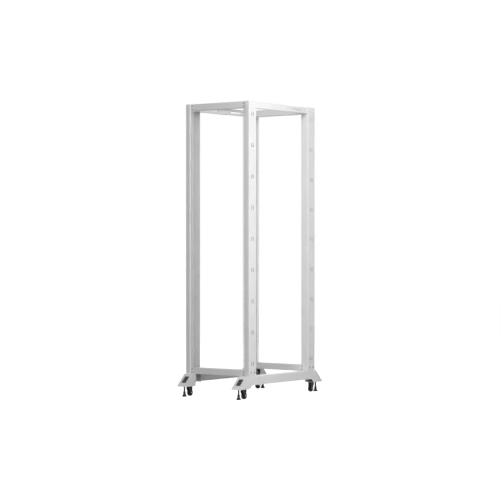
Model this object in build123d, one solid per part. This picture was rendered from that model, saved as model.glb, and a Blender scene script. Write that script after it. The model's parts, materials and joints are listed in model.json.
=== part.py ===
from build123d import *
import os

# Four post open frame rack, in millimetres.
# X runs to the right, Y from the front to the rear, Z up.
# The origin is on the floor, at the centre of the rack.

# Overall frame
frame_depth = 830.0          # front face of the front posts to rear face of the rear posts
rack_units = 42
unit_pitch = 44.45           # one rack unit
sheet = 2.0                  # steel of the posts, bars and base members
bend_radius = 3.0            # outside radius of a folded corner
gap = 0.3                    # running gap between parts that move past each other
fit = 0.02                   # radial clearance of a pin in its bore
wheel_sides = 24             # small round parts are drawn with flat sides
pin_sides = 16
hole_sides = 8

# Posts
post_depth = 90.0            # outer web, front to rear
post_face = 35.0             # width of the outer flange
mount_flange = 25.0          # width of the recessed flange that takes equipment
post_step = 10.0             # how far the mounting flange lies behind the outer flange
post_return = 60.0           # width of the flange that faces the middle of the rack
hole_side = 9.5              # square mounting holes
first_hole = 6.35            # above the bottom of its unit
hole_step = 15.875           # between the three holes of one unit
slot_width = 7.0             # pairs of slots in the web
slot_height = 30.0
slot_spread = 22.0
slot_first_unit = 1
slot_unit_step = 5
web_bolt_spread = 44.0       # bolts that hold the post to its bracket
bolt_hole = 9.0              # diameter
cope_depth = 20.0            # back flange and web cut away for the top side bar

# Screws and bolts between the bars and the posts
screw_hole = 7.0             # diameter
screw_spread = 22.5          # two screws in each end of a crossbar
flange_screw_inset = 20.0    # outer face of a front post to the screw in its front flange
tongue_bolt_inset = 26.0     # rear face of a rear post to its first bolt
tongue_bolt_spread = 41.0
side_bolt_spread = 84.0      # bolts that join the two lengths of a side bar

# Crossbars
bar_height = 47.0
plate_width = 482.6          # also the width of the equipment that the posts take
plate_end = 8.75             # each end of the plate to the screws and square holes behind it
plate_lap = 16.3             # each end of the plate to the edge of its mounting flange
bar_clearance = 1.0          # each end of the crossbar's flanges to the mounting flange
flange_depth = 50.0

# Top side bars, in two lengths that slide past each other
side_flange = 30.0
side_end_gap = 4.0           # end of the bar to the front face of its post
side_notch = 16.0            # flanges start this far behind the front face
tab_width = 28.0             # end of the outer section, folded behind the post's front flange
front_section_end = 54.0     # where the outer section stops, behind the middle
section_overlap = 120.0
adjust_slot_start = 125.0    # slot for other depths, behind the middle
adjust_slot_length = 120.0
adjust_slot_height = 9.0
tongue_height = 37.0         # web of each section where it enters its post
tongue_gap = 1.0             # round the tongue where it enters a rear post
joggle_start = 94.0          # where it steps inwards, from the rear face of the post
joggle_length = 6.0

# Base members and their feet
foot_height = 74.0           # underside of the foot
bar_underside = 99.0
base_top = 161.0
base_width = 80.0
toe_reach = 105.0            # toe of the foot beyond the post
heel_inset = 12.0            # heel of the foot behind the face of the post
heel_rise_end = 43.0         # where the web meets the underside of the bar
inner_plate_inset = 19.0     # rear edge of the foot's inner plate
inner_plate_corner = 92.0    # height of the corner above its heel
lip = 22.0                   # lower flange of the bar
bulkhead_inset = 77.0        # plate across the bar, behind the face of the post
window_width = 40.0          # window in the sloped plate
window_low = 100.0
window_high = 144.0
plug_gap = 0.3               # round the plug that closes the window
plug_recess = 0.5            # face of the plug below the sloped plate
plug_lip = 4.0               # plug behind the sheet, beyond the window
plug_sheet = 2.0

# Brackets between post and base
bracket_sheet = 3.0
bracket_width = 70.0
bracket_height = 50.0
bracket_foot = 28.0
bracket_bolt_height = 29.0

# Casters
caster_offset = 10.0         # swivel axis in front of the post's face
caster_plate_side = 44.0
caster_plate_sheet = 2.5
race_radius = 20.0
race_height = 4.0
kingpin_radius = 4.0
kingpin_head_radius = 7.0
kingpin_head_height = 2.5
fork_sheet = 2.5
fork_length = 40.0           # bridge of the fork, front to rear
fork_depth = 13.0            # straight part of the cheeks below the bridge
fork_inside = 20.0
fork_eye = 8.0               # radius of the cheeks round the axle
trail = 6.0
wheel_radius = 25.0
wheel_width = 17.0
wheel_lift = 1.0             # the levelling feet hold the wheels this far off the floor
tread_chamfer = 2.5
hub_radius = 9.0
hub_width = 19.0
axle_radius = 3.0
axle_head_length = 3.0
axle_head_flats = 10.0

# Levelling feet
leveller_distance = 58.0     # from the swivel axis towards the toe
stud_radius = 6.0
stud_top = 84.0
pad_radius = 16.5
pad_rim = 5.0
cone_top = 30.0
cone_taper = 18.5            # degrees from upright
lock_nut_height = 5.0
nut_flats = 19.0
nut_height = 6.5
plate_hole_gap = 0.3

# Places that follow from the sizes above
clear_opening = plate_width - 2 * plate_lap      # between the mounting flanges
hole_spread = plate_width - 2 * plate_end        # hole centres, left to right
half_width = clear_opening / 2 + mount_flange + post_face
half_depth = frame_depth / 2
rail_bottom = base_top + bar_height
rail_top = rail_bottom + rack_units * unit_pitch
rack_height = rail_top + bar_height
inner_face = half_width - sheet
foot_x = half_width - base_width / 2
swivel_y = -half_depth - caster_offset
leveller_y = swivel_y - leveller_distance
flange_y = -half_depth + post_step
flange_length = clear_opening - 2 * bar_clearance
bar_middle = (rail_top + rack_height) / 2
rear_bar_shift = half_depth - post_depth - flange_y    # from the front crossbars to the rear ones
overshoot = 5.0              # how far a cut runs past the face it opens


def folded(points, radii, thickness, length):
    """Sheet of one thickness, folded along a profile in XY and extruded up Z."""
    outside = Wire(FilletPolyline(*points, radius=radii).edges())
    profile = make_face(outside.offset_2d(thickness, kind=Kind.INTERSECTION, side=Side.LEFT))
    return extrude(profile, length, dir=(0, 0, 1))


def block(low, high):
    """Rectangular cutter between two corners."""
    size = [b - a for a, b in zip(low, high)]
    return Pos(*low) * Box(*size, align=(Align.MIN, Align.MIN, Align.MIN))


def rod(radius, low, high, sides=pin_sides, bore=False):
    """Round bar along Z: its corners lie on the circle, or its flats do when it cuts a bore."""
    return Pos(0, 0, low) * extrude(RegularPolygon(radius, sides, major_radius=not bore), high - low)


def cross_rod(radius, low, high, sides=pin_sides, bore=False):
    """The same along X."""
    return Rot(0, 90, 0) * rod(radius, low, high, sides, bore)


def holes(radius, low, high, places):
    """Bolt holes along X through the points (y, z)."""
    hole = cross_rod(radius, low, high, hole_sides, bore=True)
    return [Pos(0, y, z) * hole for y, z in places]


def bracket_bolt_holes():
    """Holes for the bolts that join the front right post to its bracket."""
    z = base_top + bracket_bolt_height
    middle = -half_depth + post_depth / 2
    places = [(middle + side * web_bolt_spread / 2, z) for side in (-1, 1)]
    return holes(bolt_hole / 2, inner_face - bracket_sheet - overshoot, half_width + overshoot, places)


def tongue_bolt_holes():
    """Holes for the bolts that join the rear right post to its side bar."""
    y = half_depth - tongue_bolt_inset
    places = [(y - tongue_bolt_spread, bar_middle), (y, bar_middle)]
    return holes(bolt_hole / 2, inner_face - sheet - overshoot, half_width + overshoot, places)


def side_bolt_holes():
    """Holes for the bolts that join the two lengths of the right side bar."""
    places = [(side * side_bolt_spread / 2, bar_middle) for side in (-1, 1)]
    return holes(bolt_hole / 2, inner_face - 2 * sheet - overshoot, half_width, places)


def screw_holes(places):
    """Screw holes along Y through the points (x, z) of the front of the rack."""
    low, high = -half_depth - overshoot, flange_y + overshoot
    hole = Rot(-90, 0, 0) * rod(screw_hole / 2, low, high, hole_sides, bore=True)
    return [Pos(x, 0, z) * hole for x, z in places]


def bar_screws(height):
    """Points (x, z) of the screws in the right end of a crossbar whose underside is at a height."""
    middle = height + bar_height / 2
    return [(hole_spread / 2, middle + side * screw_spread / 2) for side in (-1, 1)]


def flange_screw_hole():
    """Hole for the screw that joins the front right post to its side bar."""
    return screw_holes([(half_width - flange_screw_inset, bar_middle)])


def post():
    """Front right post, a channel open towards the inside, with its recessed mounting flange."""
    step_x = half_width - post_face
    web_back = -half_depth + post_depth
    outline = [
        (clear_opening / 2, flange_y),
        (step_x, flange_y),
        (step_x, -half_depth),
        (half_width, -half_depth),
        (half_width, web_back),
        (half_width - post_return, web_back),
    ]
    inside_radius = bend_radius - sheet
    radii = [inside_radius, bend_radius, bend_radius, bend_radius]
    body = Pos(0, 0, base_top) * folded(outline, radii, sheet, rack_height - base_top)

    cuts = []
    hole_x = hole_spread / 2
    for unit in range(rack_units):
        for step in range(3):
            z = rail_bottom + unit * unit_pitch + first_hole + step * hole_step
            cuts.append(Pos(hole_x, flange_y, z) * Box(hole_side, overshoot * 2, hole_side))
    web_middle = -half_depth + post_depth / 2
    for unit in range(slot_first_unit, rack_units, slot_unit_step):
        z = rail_bottom + unit * unit_pitch
        for side in (-1, 1):
            y = web_middle + side * slot_spread / 2
            cuts.append(Pos(half_width, y, z) * Box(overshoot * 2, slot_width, slot_height))
    return body - cuts - bracket_bolt_holes()


def post_screw_holes():
    """Holes for the screws that join the front right post to the crossbars."""
    return screw_holes(bar_screws(base_top) + bar_screws(rail_top))


def front_post():
    """Front right post, cut away at the back for the side bar that lies inside it."""
    web_back = -half_depth + post_depth
    cope = block(
        (0, web_back - cope_depth, rail_top),
        (half_width + overshoot, web_back + overshoot, rack_height + overshoot),
    )
    return post() - cope - flange_screw_hole() - post_screw_holes()


def rear_post():
    """Rear right post, its mirror image, with a slit in the flange that the side bar enters."""
    front = half_depth - post_depth
    reach = tongue_height / 2 + tongue_gap
    slit = block(
        (inner_face - sheet - tongue_gap, front - overshoot, bar_middle - reach),
        (inner_face, front + bend_radius, bar_middle + reach),
    )
    screws = [Pos(0, rear_bar_shift, 0) * hole for hole in post_screw_holes()]
    return mirror(post(), about=Plane.XZ) - slit - tongue_bolt_holes() - screws


def crossbar():
    """Front crossbar with its underside at z = 0: a plate with a flange along each long edge."""
    face_y = flange_y - sheet
    profile = [
        (face_y + flange_depth, 0),
        (face_y, 0),
        (face_y, bar_height),
        (face_y + flange_depth, bar_height),
    ]
    outside = Wire(FilletPolyline(*profile, radius=bend_radius).edges())
    face = make_face(outside.offset_2d(sheet, kind=Kind.INTERSECTION, side=Side.RIGHT))
    standing = extrude(face, flange_length, dir=(0, 0, 1))
    channel = Plane.YZ.offset(-flange_length / 2) * standing
    plate_height = bar_height - 2 * bend_radius
    plate = Pos(0, face_y + sheet / 2, bar_height / 2) * Box(plate_width, sheet, plate_height)
    right_screws = bar_screws(0)
    left_screws = [(-x, z) for x, z in right_screws]
    return channel + plate - screw_holes(right_screws + left_screws)


def side_channel(inset, start, end):
    """Stretch of a right top side bar, open inwards and nested by inset."""
    outer = inner_face - inset
    low = rail_top + inset
    high = rack_height - inset
    outline = [
        (outer - side_flange, low),
        (outer, low),
        (outer, high),
        (outer - side_flange, high),
    ]
    outside = Wire(FilletPolyline(*outline, radius=bend_radius).edges())
    face = make_face(outside.offset_2d(sheet, kind=Kind.INTERSECTION, side=Side.LEFT))
    return Plane.XZ.offset(-end) * extrude(face, end - start, dir=(0, 0, 1))


def side_bar_front():
    """Outer length of the right top side bar, with a tab folded behind the front flange of its post."""
    tab_y = -half_depth + sheet
    start = -half_depth + side_notch
    path = FilletPolyline(
        (inner_face - tab_width, tab_y), (inner_face, tab_y), (inner_face, start), radius=bend_radius)
    strip = make_face(Wire(path.edges()).offset_2d(sheet, kind=Kind.INTERSECTION, side=Side.LEFT))
    tab = Pos(0, 0, bar_middle - tongue_height / 2) * extrude(strip, tongue_height, dir=(0, 0, 1))
    bar = side_channel(0.0, start, front_section_end) + tab
    return bar - flange_screw_hole() - side_bolt_holes()


def side_bar_rear():
    """Inner length of the right top side bar. Its web steps out to the post and enters it."""
    step_end = half_depth - joggle_start
    step_start = step_end - joggle_length
    path = [
        (inner_face - sheet, step_start - joggle_length),
        (inner_face - sheet, step_start),
        (inner_face, step_end),
        (inner_face, half_depth - side_end_gap),
    ]
    web = make_face(Wire(Polyline(*path)).offset_2d(sheet, kind=Kind.INTERSECTION, side=Side.LEFT))
    tongue = Pos(0, 0, bar_middle - tongue_height / 2) * extrude(web, tongue_height, dir=(0, 0, 1))
    slot_y = adjust_slot_start + adjust_slot_length / 2
    slot = Box(overshoot * 2, adjust_slot_length, adjust_slot_height)
    bar = side_channel(sheet, front_section_end - section_overlap, step_start) + tongue
    bar -= Pos(inner_face - sheet, slot_y, bar_middle) * slot
    return bar - tongue_bolt_holes() - side_bolt_holes()


def base_outline():
    """Side outline of a base member with a foot at each end."""
    slope_top = -half_depth - toe_reach + (base_top - foot_height)
    front = [
        (-half_depth + heel_rise_end, bar_underside),
        (-half_depth + heel_inset, foot_height),
        (-half_depth - toe_reach, foot_height),
        (slope_top, base_top),
    ]
    rear = [(-y, z) for y, z in reversed(front)]
    return make_face(Polyline(*front, *rear, close=True))


def base_member():
    """Right base member: one folded sheet, closed round each foot and open inwards between them."""
    inner_x = half_width - base_width
    outline = base_outline()
    body = Plane.YZ.offset(inner_x) * extrude(outline, base_width, dir=(0, 0, 1))
    inside = offset(outline, -sheet, kind=Kind.INTERSECTION)
    cavity = Plane.YZ.offset(inner_x + sheet) * extrude(inside, base_width - 2 * sheet, dir=(0, 0, 1))
    body -= cavity

    plate_y = half_depth - inner_plate_inset
    middle = block(
        (inner_x - overshoot, -plate_y, foot_height - overshoot),
        (inner_x + sheet, plate_y, base_top - sheet),
    )
    heel_y = half_depth - heel_inset
    lip_x = half_width - lip
    underside = block(
        (inner_x - overshoot, -heel_y, foot_height - overshoot),
        (lip_x, heel_y, bar_underside + sheet),
    )
    body -= [middle, underside]

    for end in (-1, 1):
        body -= heel_corner(end)
        body -= foot_window(end)
        body -= heel_opening(end)
        body -= Pos(foot_x, -end * leveller_y, foot_height) * rod(
            stud_radius + plate_hole_gap, -overshoot, sheet + overshoot, bore=True)
        bulkhead_y = end * (half_depth - bulkhead_inset)
        body += block(
            (inner_x, bulkhead_y - sheet / 2, bar_underside + sheet),
            (inner_face, bulkhead_y + sheet / 2, base_top - sheet),
        )
    return body


def heel_corner(end):
    """Cuts the inner plate of one foot back to its heel."""
    points = [
        (half_depth - inner_plate_inset, inner_plate_corner),
        (half_depth - heel_inset, foot_height),
        (half_depth - heel_inset - overshoot, foot_height - overshoot),
        (half_depth - heel_rise_end, inner_plate_corner),
    ]
    corner = make_face(Polyline(*[(end * y, z) for y, z in points], close=True))
    inner_x = half_width - base_width
    return Plane.YZ.offset(inner_x - overshoot) * extrude(corner, sheet + 2 * overshoot, dir=(0, 0, 1))


def slope_point(height, depth):
    """Height on the sloped plate of a foot, then a depth into it: distance from the middle, and z."""
    step = depth / 2 ** 0.5
    return half_depth + toe_reach - (height - foot_height) - step, height - step


def slope_plate(width, low, high, near, far, end):
    """Plate along the slope of one foot, between two heights and two depths."""
    points = [slope_point(*place) for place in ((low, near), (low, far), (high, far), (high, near))]
    face = make_face(Polyline(*[(end * y, z) for y, z in points], close=True))
    return Plane.YZ.offset(foot_x - width / 2) * extrude(face, width, dir=(0, 0, 1))


def foot_window(end):
    """Window in the sloped plate of one foot."""
    return slope_plate(window_width, window_low, window_high, -overshoot, sheet + overshoot, end)


def foot_plug():
    """Plug that closes the window of the front right foot from behind."""
    lip_step = plug_lip / 2 ** 0.5
    behind = slope_plate(
        window_width + 2 * plug_lip, window_low - lip_step, window_high + lip_step,
        sheet, sheet + plug_sheet, -1)
    gap_step = plug_gap / 2 ** 0.5
    middle = slope_plate(
        window_width - 2 * plug_gap, window_low + gap_step, window_high - gap_step,
        plug_recess, sheet + plug_sheet / 2, -1)
    return behind + middle


def heel_opening(end):
    """Opens the heel of one foot between its two side plates."""
    low_y, high_y = sorted((end * (half_depth - heel_inset), end * (half_depth - heel_rise_end)))
    return block(
        (half_width - base_width + sheet, low_y, foot_height - overshoot),
        (half_width - sheet, high_y, bar_underside),
    )


def post_bracket():
    """Angle that bolts the front right post to the base member."""
    outline = [
        (inner_face - bracket_foot, base_top),
        (inner_face, base_top),
        (inner_face, base_top + bracket_height),
    ]
    corner = Wire(Polyline(*outline))
    face = make_face(corner.offset_2d(bracket_sheet, kind=Kind.INTERSECTION, side=Side.LEFT))
    end = -half_depth + (post_depth + bracket_width) / 2
    angle = Plane.XZ.offset(-end) * extrude(face, bracket_width, dir=(0, 0, 1))
    return angle - bracket_bolt_holes()


# Heights of the caster, from the foot down
plate_bottom = foot_height - caster_plate_sheet
race_bottom = plate_bottom - race_height
fork_top = race_bottom - gap
head_top = fork_top - fork_sheet - gap
head_bottom = head_top - kingpin_head_height
axle_z = wheel_lift + wheel_radius
wheel_y = swivel_y + trail


def caster_plate():
    """Top plate, bearing race and kingpin of the front right caster."""
    plate = Pos(0, 0, plate_bottom + caster_plate_sheet / 2) * Box(
        caster_plate_side, caster_plate_side, caster_plate_sheet)
    race = rod(race_radius, race_bottom, plate_bottom, wheel_sides)
    pin = rod(kingpin_radius, head_top, race_bottom)
    head = rod(kingpin_head_radius, head_bottom, head_top)
    return Pos(foot_x, swivel_y, 0) * (plate + race + pin + head)


def caster_fork():
    """Fork of the front right caster, bent from one strip, with the axle of its wheel."""
    outside = fork_inside + 2 * fork_sheet
    bridge = Pos(0, 0, fork_top - fork_sheet / 2) * Box(outside, fork_length, fork_sheet)
    upper = Pos(0, fork_top - fork_depth / 2) * Rectangle(fork_length, fork_depth)
    eye = Pos(trail, axle_z) * RegularPolygon(fork_eye, pin_sides)
    side = make_hull(upper.edges() + eye.edges())
    strip = Plane.YZ.offset(-outside / 2) * extrude(side, outside, dir=(0, 0, 1))
    space = block(
        (-fork_inside / 2, -wheel_radius * 2, 0),
        (fork_inside / 2, wheel_radius * 2, fork_top - fork_sheet),
    )
    fork = strip - space - rod(kingpin_radius + fit, head_bottom, fork_top + overshoot, bore=True)
    head = RegularPolygon(axle_head_flats / 2, 6, major_radius=False)
    half = outside / 2
    axle = cross_rod(axle_radius, -half, half)
    axle += Plane.YZ.offset(half) * extrude(head, axle_head_length, dir=(0, 0, 1))
    axle += Plane.YZ.offset(-half - axle_head_length) * extrude(head, axle_head_length, dir=(0, 0, 1))
    return Pos(foot_x, swivel_y, 0) * (fork + Pos(0, trail, axle_z) * axle)


def caster_wheel():
    """Wheel of the front right caster, with a chamfered tread and a hub."""
    half = wheel_width / 2
    disc = rod(wheel_radius, -half, half, wheel_sides)
    rims = disc.faces().sort_by(Axis.Z)
    wheel = chamfer(rims[0].edges() + rims[-1].edges(), tread_chamfer)
    wheel += rod(hub_radius, -hub_width / 2, hub_width / 2)
    wheel -= rod(axle_radius + fit, -hub_width, hub_width, bore=True)
    return Pos(foot_x, wheel_y, axle_z) * Rot(0, 90, 0) * wheel


def leveller():
    """Levelling foot of the front right corner: pad, cone, lock nut and stud."""
    pad = rod(pad_radius, 0, pad_rim, wheel_sides)
    foot = Pos(0, 0, pad_rim) * RegularPolygon(pad_radius, wheel_sides)
    cone = extrude(foot, cone_top - pad_rim, taper=cone_taper)
    hexagon = RegularPolygon(nut_flats / 2, 6, major_radius=False)
    nut = Pos(0, 0, cone_top) * extrude(hexagon, lock_nut_height)
    stud = rod(stud_radius, cone_top, stud_top)
    return Pos(foot_x, leveller_y, 0) * (pad + cone + nut + stud)


def leveller_nut():
    """Nut welded inside the foot, in which the stud turns."""
    hexagon = RegularPolygon(nut_flats / 2, 6, major_radius=False)
    bore = rod(stud_radius + fit, -overshoot, nut_height + overshoot, bore=True)
    nut = extrude(hexagon, nut_height) - bore
    return Pos(foot_x, leveller_y, foot_height + sheet) * nut


def both_sides(name, right):
    """A part of the right side, and its mirror image on the left."""
    return {f"{name}_right": right, f"{name}_left": mirror(right, about=Plane.YZ)}


def four_corners(name, part):
    """A part drawn for the front right corner, at every corner."""
    placed = both_sides(f"{name}_front", part)
    placed[f"{name}_rear_right"] = mirror(part, about=Plane.XZ)
    placed[f"{name}_rear_left"] = Rot(0, 0, 180) * part
    return placed


def sub_parts():
    """Every named part of the rack, in place."""
    parts = both_sides("post_front", front_post()) | both_sides("post_rear", rear_post())
    parts |= both_sides("base", base_member())
    parts |= both_sides("side_bar_front", side_bar_front())
    parts |= both_sides("side_bar_rear", side_bar_rear())
    for make in (post_bracket, foot_plug, caster_plate, caster_fork, caster_wheel, leveller,
                 leveller_nut):
        parts |= four_corners(make.__name__, make())
    bar = crossbar()
    for level, height in (("bottom", base_top), ("top", rail_top)):
        parts[f"crossbar_{level}_front"] = Pos(0, 0, height) * bar
        parts[f"crossbar_{level}_rear"] = Pos(0, rear_bar_shift, height) * bar
    return parts


os.makedirs("parts", exist_ok=True)
for name, part in sub_parts().items():
    export_step(part, f"parts/{name}.step")
    print(name, round(part.volume))
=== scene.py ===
# %% [markdown]
# # A four post open frame rack
# The rack is a tall frame of folded sheet steel for 19 inch equipment. It stands on four splayed feet,
# each with a small caster and a levelling foot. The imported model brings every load-carrying part as a
# fixed node. The sheet could be drawn again here, but loading it keeps each screw and wheel where the
# solids say.

# %% Load the frame
import json
import math

import bmesh
import bpy
from mathutils import Matrix, Vector


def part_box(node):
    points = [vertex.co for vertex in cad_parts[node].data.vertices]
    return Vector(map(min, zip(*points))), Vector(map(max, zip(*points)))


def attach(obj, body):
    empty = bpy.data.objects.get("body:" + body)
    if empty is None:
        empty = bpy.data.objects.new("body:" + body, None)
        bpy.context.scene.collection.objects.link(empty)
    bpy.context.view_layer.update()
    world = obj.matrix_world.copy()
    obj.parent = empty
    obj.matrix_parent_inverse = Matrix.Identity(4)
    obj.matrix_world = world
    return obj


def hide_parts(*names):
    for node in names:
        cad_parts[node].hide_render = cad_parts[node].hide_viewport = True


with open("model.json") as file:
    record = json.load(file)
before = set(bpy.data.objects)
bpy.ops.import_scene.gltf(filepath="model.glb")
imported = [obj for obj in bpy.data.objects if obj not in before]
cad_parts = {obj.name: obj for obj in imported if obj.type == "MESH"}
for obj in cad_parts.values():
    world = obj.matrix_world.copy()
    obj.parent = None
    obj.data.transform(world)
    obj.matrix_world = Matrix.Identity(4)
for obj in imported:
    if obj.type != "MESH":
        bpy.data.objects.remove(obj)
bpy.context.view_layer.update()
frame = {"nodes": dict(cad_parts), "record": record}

# %% [markdown]
# Four corners of the rack carry the same pieces. A sign for each axis is enough to place them all, so a
# piece is drawn once and put at every corner by multiplying its place by the two signs.

# %% Corners
CORNERS = {"front_right": (1, -1), "front_left": (-1, -1), "rear_right": (1, 1), "rear_left": (-1, 1)}
SIDES = {"right": 1, "left": -1}
print("corners", list(CORNERS))

# %% [markdown]
# ## Camera
# The rack is seen from the front and the right, from far away and level with its middle. A camera can be
# aimed with a constraint, but a level one keeps the posts upright, so its place is worked out from one
# angle, and it looks along the same line.

# %% Camera
view_angle = math.radians(36.37)
camera_distance = 12.878
camera_offset = -0.0086
camera_height = 1.062
towards_camera = Vector((math.sin(view_angle), -math.cos(view_angle), 0))
across = Vector((math.cos(view_angle), math.sin(view_angle), 0))

camera_data = bpy.data.cameras.new("camera")
camera_data.sensor_width = 36
camera_data.lens = 125.54
camera = bpy.data.objects.new("camera", camera_data)
camera.location = towards_camera * camera_distance + across * camera_offset + Vector((0, 0, camera_height))
camera.rotation_euler = (math.radians(90), 0, view_angle)
bpy.context.collection.objects.link(camera)
bpy.context.scene.camera = camera
bpy.context.scene.view_settings.view_transform = "Standard"
print("camera", [round(c, 3) for c in camera.location])

# %% [markdown]
# ## Light
# A tall soft lamp stands close to the right side of the rack, a little forward of its middle. Its light
# reaches the rear post's front better than the front post's, and fades towards the floor. A far sun
# could not do either. A wide lamp in front fills the faces that look forward, a small one above lifts
# the top, and one behind, to the left, lights the sides that the others leave dark.

# %% Lamps
def add_lamp(name, power, size, place, target):
    """Adds an area lamp of a width and a height that points from its place to its target."""
    data = bpy.data.lights.new(name, "AREA")
    data.energy = power
    data.shape = "RECTANGLE"
    data.size, data.size_y = size
    lamp = bpy.data.objects.new(name, data)
    lamp.location = place
    lamp.rotation_euler = (Vector(target) - Vector(place)).to_track_quat("-Z", "Y").to_euler()
    bpy.context.collection.objects.link(lamp)
    print("lamp", name, power)


add_lamp("side_lamp", 19.5, (1.36, 2.9), (1.4, -0.4, 1.55), (0, 1.0, 1.3))
add_lamp("front_lamp", 130, (3.0, 2.4), (2.5, -5.0, 4.0), (0, 0, 1.3))
add_lamp("top_lamp", 12, (1.4, 1.2), (1.8, -0.9, 3.2), (0, 0, 1.6))
add_lamp("rear_lamp", 90, (3.0, 2.4), (-3.0, 5.0, 4.0), (0, 0, 1.3))

# %% [markdown]
# The background is white. The sky shows white only to rays that the camera, a reflection or a clear
# material sends, and lights the rack at a lower level. The floor does the same, so it looks white but
# keeps the shade under the feet.

# %% Sky and floor
def shows_background(nodes, links):
    """Gives 1 to rays that should see a white background, 0 to rays that gather light."""
    path = nodes.new("ShaderNodeLightPath")
    seen = path.outputs["Is Camera Ray"]
    for name in ("Is Glossy Ray", "Is Transmission Ray"):
        either = nodes.new("ShaderNodeMath")
        either.operation = "MAXIMUM"
        links.new(seen, either.inputs[0])
        links.new(path.outputs[name], either.inputs[1])
        seen = either.outputs[0]
    return seen


sky_level = 0.15
world = bpy.data.worlds.new("sky")
bpy.context.scene.world = world
world.use_nodes = True
nodes, links = world.node_tree.nodes, world.node_tree.links
nodes.clear()
fill = nodes.new("ShaderNodeBackground")
fill.inputs["Color"].default_value = (1, 1, 1, 1)
fill.inputs["Strength"].default_value = sky_level
white = nodes.new("ShaderNodeBackground")
white.inputs["Color"].default_value = (1, 1, 1, 1)
white.inputs["Strength"].default_value = 1.0
choice = nodes.new("ShaderNodeMixShader")
output = nodes.new("ShaderNodeOutputWorld")
links.new(shows_background(nodes, links), choice.inputs[0])
links.new(fill.outputs[0], choice.inputs[1])
links.new(white.outputs[0], choice.inputs[2])
links.new(choice.outputs[0], output.inputs["Surface"])

floor_colour = (0.45, 0.45, 0.45, 1)
floor_glow = 0.95
floor_material = bpy.data.materials.new("floor")
floor_material.use_nodes = True
nodes, links = floor_material.node_tree.nodes, floor_material.node_tree.links
nodes.clear()
matt = nodes.new("ShaderNodeBsdfDiffuse")
matt.inputs["Color"].default_value = floor_colour
glow = nodes.new("ShaderNodeEmission")
strength = nodes.new("ShaderNodeMath")
strength.operation = "MULTIPLY"
strength.inputs[1].default_value = floor_glow
both = nodes.new("ShaderNodeAddShader")
output = nodes.new("ShaderNodeOutputMaterial")
links.new(shows_background(nodes, links), strength.inputs[0])
links.new(strength.outputs[0], glow.inputs["Strength"])
links.new(matt.outputs[0], both.inputs[0])
links.new(glow.outputs[0], both.inputs[1])
links.new(both.outputs[0], output.inputs["Surface"])

floor_shape = bmesh.new()
bmesh.ops.create_grid(floor_shape, x_segments=1, y_segments=1, size=40)
floor_mesh = bpy.data.meshes.new("floor")
floor_shape.to_mesh(floor_mesh)
floor_shape.free()
floor_mesh.materials.append(floor_material)
floor = bpy.data.objects.new("floor", floor_mesh)
bpy.context.collection.objects.link(floor)
print("sky", sky_level, "floor", floor_glow)

# %% [markdown]
# ## Finishes
# The rack is painted, its casters are coated black, their wheels are moulded, and its screws are zinc
# plated. All these are one recipe: a base colour with a slow drift of tone, a fine grain that lifts the
# surface, and a roughness that varies a little. The numbers make each finish what it is. Object
# coordinates keep the grain at its real size on every piece.

# %% One recipe for a finish
def finish(name, dark, light, rough, grain, height, metal=0.0, drift=9.0, gleam=0.5):
    """Makes a material: two tones, a range of roughness, grain per metre and its height in metres."""
    material = bpy.data.materials.new(name)
    material.use_nodes = True
    nodes, links = material.node_tree.nodes, material.node_tree.links
    shader = nodes["Principled BSDF"]
    shader.inputs["Metallic"].default_value = metal
    shader.inputs["Specular IOR Level"].default_value = gleam
    place = nodes.new("ShaderNodeTexCoord")

    tone = nodes.new("ShaderNodeTexNoise")
    tone.inputs["Scale"].default_value = drift
    tone.inputs["Detail"].default_value = 6
    tones = nodes.new("ShaderNodeValToRGB")
    tones.color_ramp.elements[0].position = 0.3
    tones.color_ramp.elements[0].color = (*dark, 1)
    tones.color_ramp.elements[1].position = 0.7
    tones.color_ramp.elements[1].color = (*light, 1)
    links.new(place.outputs["Object"], tone.inputs["Vector"])
    links.new(tone.outputs["Fac"], tones.inputs["Fac"])
    links.new(tones.outputs["Color"], shader.inputs["Base Color"])

    speck = nodes.new("ShaderNodeTexNoise")
    speck.inputs["Scale"].default_value = grain
    speck.inputs["Detail"].default_value = 2
    gloss = nodes.new("ShaderNodeMapRange")
    gloss.inputs["To Min"].default_value = rough[0]
    gloss.inputs["To Max"].default_value = rough[1]
    bump = nodes.new("ShaderNodeBump")
    bump.inputs["Strength"].default_value = 0.6
    bump.inputs["Distance"].default_value = height
    links.new(place.outputs["Object"], speck.inputs["Vector"])
    links.new(speck.outputs["Fac"], gloss.inputs["Value"])
    links.new(gloss.outputs["Result"], shader.inputs["Roughness"])
    links.new(speck.outputs["Fac"], bump.inputs["Height"])
    links.new(bump.outputs["Normal"], shader.inputs["Normal"])
    return material


MATERIALS = {
    "rack_paint": finish(
        "light_grey_powder_coat", (0.77, 0.77, 0.775), (0.81, 0.81, 0.815), (0.42, 0.56), 750, 0.00012),
    "caster_metal": finish(
        "black_coated_steel", (0.009, 0.009, 0.009), (0.018, 0.018, 0.019), (0.42, 0.58), 1100, 0.00006,
        gleam=0.28),
    "wheel_plastic": finish(
        "black_moulded_plastic", (0.006, 0.006, 0.006), (0.012, 0.012, 0.012), (0.55, 0.7), 1600, 0.00005,
        gleam=0.2),
    "plug_plastic": finish(
        "black_ribbed_plastic", (0.02, 0.02, 0.021), (0.032, 0.032, 0.033), (0.5, 0.64), 900, 0.00008),
    "foot_metal": finish(
        "black_oxide_steel", (0.009, 0.009, 0.009), (0.017, 0.016, 0.016), (0.45, 0.62), 1300, 0.00005,
        gleam=0.28),
    "nut_steel": finish(
        "zinc_plated_steel", (0.3, 0.3, 0.295), (0.44, 0.44, 0.435), (0.34, 0.5), 900, 0.00003,
        metal=1.0, drift=260.0),
}
print("finishes", list(MATERIALS))

# %% [markdown]
# The record names a finish for every node. The node keeps its mesh and only its material slots change,
# because the frame must stay exactly as it was packed.

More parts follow.
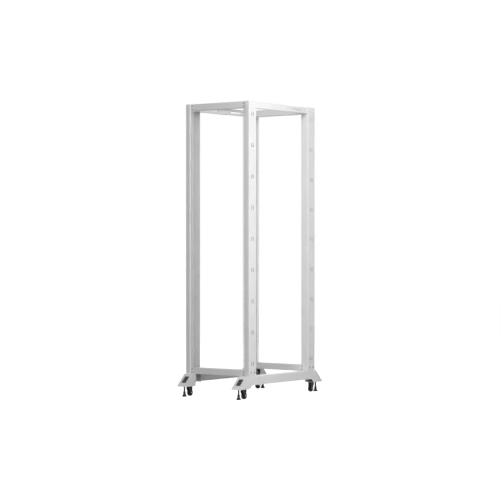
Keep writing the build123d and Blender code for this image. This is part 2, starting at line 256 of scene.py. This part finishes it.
# %% Dress the nodes
node_slots = {part["node"]: part["material_slot"] for part in frame["record"]["subparts"]}
for node_name, node in frame["nodes"].items():
    for material_slot in node.material_slots:
        material_slot.material = MATERIALS[node_slots[node_name]]
print("dressed", len(frame["nodes"]), "nodes")

# %% [markdown]
# ## Shapes that come back
# Screws, nuts, wheels and pads are all round. They could be cylinders, but a spun outline gives
# their domes, chamfers and grooves for the same effort. The outline lists radius and height.

# %% Spin an outline
MM = 0.001


def spin_outline(outline, steps, ring=False):
    """Spins (radius, height) points in millimetres round Z. A ring's outline closes on itself."""
    bm = bmesh.new()
    points = [bm.verts.new((radius * MM, 0, height * MM)) for radius, height in outline]
    pairs = list(zip(points, points[1:]))
    if ring:
        pairs.append((points[-1], points[0]))
    edges = [bm.edges.new(pair) for pair in pairs]
    bmesh.ops.spin(
        bm, geom=points + edges, cent=(0, 0, 0), axis=(0, 0, 1), dvec=(0, 0, 0),
        angle=2 * math.pi, steps=steps, use_merge=True, use_duplicate=False)
    bmesh.ops.remove_doubles(bm, verts=bm.verts, dist=0.001 * MM)
    return bm


# %% [markdown]
# A shape is kept as a mesh and added wherever it is needed. Linked copies of an object would also do,
# but a finished piece must have its place in its own mesh, so the copies are joined in one piece.

# %% Keep a shape, add it to a piece, finish the piece
def keep_shape(bm, name):
    """Turns a bmesh into a mesh with its faces pointing outwards."""
    bmesh.ops.recalc_face_normals(bm, faces=bm.faces)
    mesh = bpy.data.meshes.new(name)
    bm.to_mesh(mesh)
    bm.free()
    return mesh


def add_shape(bm, mesh, matrix=Matrix()):
    """Adds a moved copy of a mesh to a bmesh."""
    old = len(bm.verts)
    bm.from_mesh(mesh)
    bmesh.ops.transform(bm, matrix=matrix, verts=list(bm.verts)[old:])


def aimed(place, direction):
    """Gives the matrix that puts a shape at a place in metres, with its Z axis along a direction."""
    return Matrix.Translation(place) @ Vector(direction).to_track_quat("Z", "X").to_matrix().to_4x4()


def make_piece(name, bm, slot, body, replaced=None, smooth_below=32):
    """Makes a finished piece that rides on a body and wears the finish of a slot."""
    mesh = keep_shape(bm, name)
    mesh.materials.append(MATERIALS[slot])
    mesh.shade_smooth()
    mesh.set_sharp_from_angle(angle=math.radians(smooth_below))
    piece = bpy.data.objects.new(name, mesh)
    bpy.context.collection.objects.link(piece)
    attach(piece, body)
    if replaced:
        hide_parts(replaced)
    return piece


# %% [markdown]
# ## Nuts and screws
# A nut is a ring whose outer wall is pushed out to a hexagon. Its corners are turned off at 30 degrees,
# so the chamfer drops most at the corners. Spinning 24 steps puts four faces on each flat, enough for
# that curved edge.

# %% Nut
def hexagon_reach(angle, flats):
    """Gives the distance from the middle of a hexagon to its side, in a direction."""
    return flats / 2 / math.cos((angle + math.pi / 6) % (math.pi / 3) - math.pi / 6)


def nut_shape(flats, height, bore):
    """Makes a hexagon nut that stands on z = 0."""
    flat = flats / 2 * 0.96
    outline = [(bore, 0), (flat, 0), (flats, 1), (flats, height - 1), (flat, height), (bore, height)]
    bm = spin_outline(outline, 24, ring=True)
    for vert in bm.verts:
        if vert.co.xy.length > flats * 0.9 * MM:
            angle = math.atan2(vert.co.y, vert.co.x)
            reach = hexagon_reach(angle, flats)
            drop = (reach - flat) * math.tan(math.radians(30))
            high = vert.co.z > height / 2 * MM
            z = height - drop if high else drop
            vert.co = Vector((math.cos(angle) * reach, math.sin(angle) * reach, z)) * MM
    return keep_shape(bm, "nut")


print("nut faces", len(nut_shape(13, 6.5, 3.9).polygons))

# %% [markdown]
# The visible screws have low domed heads with a hexagon socket. The dome is spun with a hole in its
# top. The rim of that hole is then drawn onto a hexagon, pulled down and closed, which makes the socket
# without cutting one shape from another.

# %% Screw with its nut
def screw_shape(head_radius, head_height, socket, shank, grip, nut_flats, nut_height):
    """Makes a screw along Z, with its head's seat at z = 0 and its nut below the grip."""
    tip = -grip - nut_height - 1.5
    rim = socket / 2 * 1.25
    outline = [
        (0, tip), (shank - 0.7, tip), (shank, tip + 0.7), (shank, 0), (head_radius, 0),
        (head_radius, head_height * 0.22), (head_radius * 0.96, head_height * 0.42),
        (head_radius * 0.84, head_height * 0.72), (head_radius * 0.68, head_height * 0.93),
        (rim, head_height)]
    bm = spin_outline(outline, 24)
    for drop in (0.25, head_height * 0.6):
        hole = [edge for edge in bm.edges if edge.is_boundary]
        pulled = bmesh.ops.extrude_edge_only(bm, edges=hole)["geom"]
        for vert in pulled:
            if isinstance(vert, bmesh.types.BMVert):
                angle = math.atan2(vert.co.y, vert.co.x)
                reach = hexagon_reach(angle, socket)
                z = head_height - drop
                vert.co = Vector((math.cos(angle) * reach, math.sin(angle) * reach, z)) * MM
    bmesh.ops.holes_fill(bm, edges=[edge for edge in bm.edges if edge.is_boundary], sides=0)
    nut = nut_shape(nut_flats, nut_height, shank - 0.3)
    add_shape(bm, nut, Matrix.Translation((0, 0, (-grip - nut_height) * MM)))
    return keep_shape(bm, "screw")


post_bolt = screw_shape(7, 4.4, 5, 4, 5, 13, 6.5)
side_bolt = screw_shape(7, 4.4, 5, 4, 4, 13, 6.5)
bar_screw = screw_shape(5.6, 3.3, 4, 3, 4, 10, 5)
print("screw faces", len(post_bolt.polygons), len(side_bolt.polygons), len(bar_screw.polygons))

# %% [markdown]
# Two bolts join each post to its bracket, and two more hold the bracket down on the foot. They share
# one piece per corner, since they never move apart.

# %% Bolts at the foot of each post
post_outside = 0.285
post_middle_y = 0.370
bolt_offset = 0.022
web_bolt_z = 0.190
bracket_top_z = 0.164
bracket_bolt_x = 0.267
for corner, (sx, sy) in CORNERS.items():
    bm = bmesh.new()
    for offset in (-bolt_offset, bolt_offset):
        y = sy * post_middle_y + offset
        add_shape(bm, post_bolt, aimed((sx * post_outside, y, web_bolt_z), (sx, 0, 0)))
        add_shape(bm, post_bolt, aimed((sx * bracket_bolt_x, y, bracket_top_z), (0, 0, 1)))
    make_piece(f"post_bolts_{corner}", bm, "nut_steel", "frame")
print("bolts at", web_bolt_z)

# %% [markdown]
# The side bars are joined to the posts and to themselves. In front one screw goes through the post's
# flange into the folded tab. Behind, two bolts go through the post's web. Two more join the two
# lengths of each bar near the middle of the rack. They hardly show, so they wear the paint of the bars.

# %% Bolts of the side bars
bar_middle_z = 2.0984
side_bar_face = 0.283
tab_screw_x, tab_screw_y = 0.265, -0.415
tongue_bolts_y = (0.348, 0.389)
middle_bolts_y = (-0.042, 0.042)
for side, sx in SIDES.items():
    bm = bmesh.new()
    add_shape(bm, bar_screw, aimed((sx * tab_screw_x, tab_screw_y, bar_middle_z), (0, -1, 0)))
    for y in tongue_bolts_y:
        add_shape(bm, side_bolt, aimed((sx * post_outside, y, bar_middle_z), (sx, 0, 0)))
    for y in middle_bolts_y:
        add_shape(bm, side_bolt, aimed((sx * side_bar_face, y, bar_middle_z), (sx, 0, 0)))
    make_piece(f"side_bar_bolts_{side}", bm, "rack_paint", "frame")
print("side bar bolts", len(SIDES))

# %% [markdown]
# Each crossbar is a plate whose ends lie on the mounting flanges. Two screws at each end go through
# both, one above the other. The rear bars face the front too, so all of the screws are driven from there.

# %% Screws of the crossbars
bar_plate_y = {"front": -0.407, "rear": 0.323}
screw_x = 0.23255
screw_offset = 0.01125
bottom_bar_z = 0.161
half_bar_height = 0.0235
bar_levels = {"bottom": bottom_bar_z + half_bar_height, "top": bar_middle_z}
for level, middle in bar_levels.items():
    for end, plate_y in bar_plate_y.items():
        bm = bmesh.new()
        for sx in (-1, 1):
            for offset in (-screw_offset, screw_offset):
                add_shape(bm, bar_screw, aimed((sx * screw_x, plate_y, middle + offset), (0, -1, 0)))
        make_piece(f"crossbar_screws_{level}_{end}", bm, "nut_steel", "frame")
print("crossbar screws at", bar_levels)

# %% [markdown]
# ## Casters
# A small swivel caster hangs under each foot. Its top plate is a square of sheet with rounded corners,
# a pressed race below it and a riveted kingpin. The solids have plain shapes there, so this piece
# replaces them. The plate is a scaled cube with its upright edges bevelled, and the race and rivet are
# spun.

# %% Top plate, race and kingpin
swivel_y = 0.425
foot_x = 0.245
plate_bottom = 71.5
plate_side = 44
plate_thick = 2.5
plate_corner = 5
screw_from_middle = 0.0175
plate_bm = bmesh.new()
bmesh.ops.create_cube(plate_bm, size=1)
bmesh.ops.scale(plate_bm, vec=Vector((plate_side, plate_side, plate_thick)) * MM, verts=plate_bm.verts)
upright = [e for e in plate_bm.edges if abs(e.verts[0].co.z - e.verts[1].co.z) > MM]
bmesh.ops.bevel(
    plate_bm, geom=upright, offset=plate_corner * MM, affect="EDGES", segments=4, profile=0.5, material=-1)
bmesh.ops.translate(plate_bm, vec=(0, 0, (plate_bottom + plate_thick / 2) * MM), verts=plate_bm.verts)
plate_shape = keep_shape(plate_bm, "caster_plate")
race_shape = keep_shape(spin_outline([
    (0, 67.5), (19.4, 67.5), (20, 68.0), (20, 68.8), (19.1, 69.3), (19.1, 69.7),
    (20, 70.2), (20, 71.6), (0, 71.6)], 48), "race")
rivet_shape = keep_shape(spin_outline([
    (0, 61.9), (3.5, 61.9), (5.6, 62.3), (6.8, 63.2), (7, 64), (7, 64.4), (4, 64.4),
    (4, 67.6), (0, 67.6)], 32), "rivet")
plate_screw = screw_shape(3.8, 2.4, 2.5, 2, 4.5, 7, 3.2)
for corner, (sx, sy) in CORNERS.items():
    place = Matrix.Translation((sx * foot_x, sy * swivel_y, 0))
    bm = bmesh.new()
    for shape in (plate_shape, race_shape, rivet_shape):
        add_shape(bm, shape, place)
    make_piece(f"caster_top_{corner}", bm, "caster_metal", "frame", f"caster_plate_{corner}")
    bm = bmesh.new()
    for dx in (-screw_from_middle, screw_from_middle):
        for dy in (-screw_from_middle, screw_from_middle):
            add_shape(bm, plate_screw, place @ aimed((dx, dy, plate_bottom * MM), (0, 0, -1)))
    make_piece(f"caster_screws_{corner}", bm, "nut_steel", "frame")
print("caster tops", len(CORNERS))

# %% [markdown]
# The fork is one strip, bent down on both sides of the wheel, and its cheeks narrow to a round eye at
# the axle. Its section is drawn first, extruded and thickened. Planes that touch the eye then trim both
# cheeks at once, and each cut is filled. That is how a press would crop the blank.

# %% Fork
trail = 6.0
axle_z = 26.0
fork_top = 67.2
fork_half = 12.5
fork_length = 40.0
strip_end = 10
fork_bend = 3
fork_sheet = 2.5
straight_end = 54.2
eye_radius = 8.0

fork_bm = bmesh.new()
section = [
    (-fork_half, strip_end), (-fork_half, fork_top), (fork_half, fork_top), (fork_half, strip_end)]
corners_of_section = [fork_bm.verts.new((x * MM, -fork_length / 2 * MM, z * MM)) for x, z in section]
lines = [fork_bm.edges.new(pair) for pair in zip(corners_of_section, corners_of_section[1:])]
swept = bmesh.ops.extrude_edge_only(fork_bm, edges=lines)["geom"]
bmesh.ops.translate(
    fork_bm, vec=(0, fork_length * MM, 0), verts=[v for v in swept if isinstance(v, bmesh.types.BMVert)])
folds = [e for e in fork_bm.edges if len(e.link_faces) == 2]
bmesh.ops.bevel(
    fork_bm, geom=folds, offset=fork_bend * MM, affect="EDGES", segments=4, profile=0.5, material=-1)
bmesh.ops.recalc_face_normals(fork_bm, faces=fork_bm.faces)
if max(fork_bm.faces, key=lambda face: face.calc_center_median().z).normal.z < 0:
    bmesh.ops.reverse_faces(fork_bm, faces=fork_bm.faces)
bmesh.ops.solidify(fork_bm, geom=fork_bm.faces, thickness=fork_sheet * MM)


def trim(bm, y, z, angle):
    """Cuts away what lies beyond a plane through (y, z) whose normal is at an angle from Y towards Z."""
    normal = (0, math.cos(angle), math.sin(angle))
    cut = bmesh.ops.bisect_plane(
        bm, geom=bm.verts[:] + bm.edges[:] + bm.faces[:], dist=0.0001 * MM,
        plane_co=(0, y * MM, z * MM), plane_no=normal, clear_outer=True)["geom_cut"]
    bmesh.ops.holes_fill(bm, edges=[e for e in cut if isinstance(e, bmesh.types.BMEdge)], sides=0)


def eye_tangent(y, turn):
    """Gives the angle of the plane that touches the eye and passes the end of the straight part at y."""
    dy, dz = y - trail, straight_end - axle_z
    return math.atan2(dz, dy) + turn * math.acos(eye_radius / math.hypot(dy, dz))


first = eye_tangent(-fork_length / 2, 1)
last = eye_tangent(fork_length / 2, -1) + 2 * math.pi
trims = 10
for step in range(trims + 1):
    angle = first + (last - first) * step / trims
    trim(fork_bm, trail + eye_radius * math.cos(angle), axle_z + eye_radius * math.sin(angle), angle)
fork_shape = keep_shape(fork_bm, "fork")
print("fork faces", len(fork_shape.polygons))

# %% [markdown]
# A bolt is the axle. It has a hexagon head on one cheek, a nut on the other and a washer on each side
# of the hub.

# %% Axle
axle_shape = keep_shape(spin_outline([
    (0, -15.4), (2.5, -15.4), (3, -14.9), (3, 14.9), (2.5, 15.4), (0, 15.4)], 24), "axle")
axle_nut = nut_shape(10, 2.9, 2.8)
axle_washer = keep_shape(spin_outline([
    (2.9, 9.55), (6.5, 9.55), (6.5, 9.95), (2.9, 9.95)], 24, ring=True), "washer")
lay_down = Matrix.Rotation(math.radians(90), 4, "Y")
for corner, (sx, sy) in CORNERS.items():
    place = Matrix.Translation((sx * foot_x, sy * swivel_y, 0))
    turn = Matrix.Rotation(math.radians(0 if sy < 0 else 180), 4, "Z")
    bm = bmesh.new()
    add_shape(bm, fork_shape, place @ turn)
    make_piece(f"fork_{corner}", bm, "caster_metal", f"swivel_{corner}", f"caster_fork_{corner}")
    axle_place = place @ turn @ Matrix.Translation((0, trail * MM, axle_z * MM)) @ lay_down
    bm = bmesh.new()
    add_shape(bm, axle_shape, axle_place)
    for flip in (0, 180):
        side_turn = Matrix.Rotation(math.radians(flip), 4, "X")
        add_shape(bm, axle_nut, axle_place @ side_turn @ Matrix.Translation((0, 0, fork_half * MM)))
        add_shape(bm, axle_washer, axle_place @ side_turn)
    make_piece(f"axle_{corner}", bm, "nut_steel", f"swivel_{corner}")
print("forks", len(CORNERS))

# %% [markdown]
# The wheel is moulded in one piece, with a rounded tread, a hollow on each side and a raised hub. One
# spun outline gives all of that. Six thin ribs cross each hollow.

# %% Wheel
half_outline = [
    (3.02, 9.5), (8.4, 9.5), (9, 8.9), (9, 5.2), (10, 4.4), (18.4, 4.4), (19.4, 5.2),
    (19.8, 7.8), (20.6, 8.4), (22.4, 8.5), (24.0, 8.0), (24.8, 6.8), (25, 5.0)]
wheel_outline = half_outline + [(radius, -z) for radius, z in reversed(half_outline)]
wheel_bm = spin_outline(wheel_outline, 48, ring=True)
wheel_round = keep_shape(wheel_bm, "wheel")
rib_bm = bmesh.new()
bmesh.ops.create_cube(rib_bm, size=1)
bmesh.ops.scale(rib_bm, vec=Vector((11, 1.6, 14.4)) * MM, verts=rib_bm.verts)
bmesh.ops.translate(rib_bm, vec=(14.2 * MM, 0, 0), verts=rib_bm.verts)
rib_shape = keep_shape(rib_bm, "rib")
for corner, (sx, sy) in CORNERS.items():
    low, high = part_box(f"caster_wheel_{corner}")
    place = Matrix.Translation((low + high) / 2) @ lay_down
    bm = bmesh.new()
    add_shape(bm, wheel_round, place)
    for step in range(6):
        add_shape(bm, rib_shape, place @ Matrix.Rotation(math.radians(60 * step), 4, "Z"))
    make_piece(f"wheel_{corner}", bm, "wheel_plastic", f"wheel_{corner}", f"caster_wheel_{corner}")
print("wheel faces", len(wheel_round.polygons))

# %% [markdown]
# ## Levelling feet
# A threaded stud under each toe takes the weight off the casters. The thread is a helix, not a stack
# of rings: a small triangle is spun many turns round the stud, and each step also lifts it. The same
# spin operator does both.

# %% Thread
def add_thread(bm, radius, depth, pitch, low, high, steps=16):
    """Adds a helical ridge round Z, in millimetres."""
    root = radius - depth
    half = pitch * 0.44
    section = ((root - 0.1, -half), (radius, 0), (root - 0.1, half))
    points = [bm.verts.new((r * MM, 0, (low + z) * MM)) for r, z in section]
    ridge = bm.faces.new(points)
    turns = int((high - low) / pitch)
    bmesh.ops.spin(
        bm, geom=[ridge], cent=(0, 0, 0), axis=(0, 0, 1), dvec=(0, 0, pitch / steps * MM),
        angle=2 * math.pi * turns, steps=steps * turns, use_merge=False, use_duplicate=False)


stud_bm = spin_outline([(0, 34), (5.2, 34), (5.2, 83.5), (4.7, 84), (0, 84)], 32)
add_thread(stud_bm, 6.0, 0.8, 1.75, 36, 83, steps=24)
print("stud open edges", sum(1 for edge in stud_bm.edges if edge.is_boundary))
stud_shape = keep_shape(stud_bm, "stud")

# %% [markdown]
# The pad is a pressed bell on a rubber sole. The sole is its own piece, because it is soft and matt
# where the bell is hard and slightly glossy.

# %% Pad, sole and nuts
leveller_y = 0.483
bell_top = 30
foot_nut_bottom = 76
bell_shape = keep_shape(spin_outline([
    (0, 1.5), (15.6, 1.5), (16.2, 1.9), (16.4, 2.6), (16.4, 4.4), (16.0, 5.1), (15.2, 6.6), (12.8, 11),
    (10.6, 15.5), (9.1, 20), (8.4, 25), (8.1, 29.6), (7.4, bell_top), (0, bell_top)], 40), "bell")
sole_shape = keep_shape(spin_outline([(0, 0), (15.4, 0), (15.9, 0.4), (15.9, 1.6), (0, 1.6)], 40), "sole")
lock_nut = nut_shape(19, 5, 5.4)
foot_nut = nut_shape(19, 6.5, 6.02)
for corner, (sx, sy) in CORNERS.items():
    place = Matrix.Translation((sx * foot_x, sy * leveller_y, 0))
    bm = bmesh.new()
    add_shape(bm, stud_shape, place)
    add_shape(bm, bell_shape, place)
    add_shape(bm, lock_nut, place @ Matrix.Translation((0, 0, bell_top * MM)))
    make_piece(f"levelling_foot_{corner}", bm, "foot_metal", f"foot_{corner}", f"leveller_{corner}")
    bm = bmesh.new()
    add_shape(bm, sole_shape, place)
    make_piece(f"sole_{corner}", bm, "wheel_plastic", f"foot_{corner}")
    bm = bmesh.new()
    add_shape(bm, foot_nut, place @ Matrix.Translation((0, 0, foot_nut_bottom * MM)))
    make_piece(f"foot_nut_{corner}", bm, "nut_steel", "frame", f"leveller_nut_{corner}")
print("levelling feet", len(CORNERS))
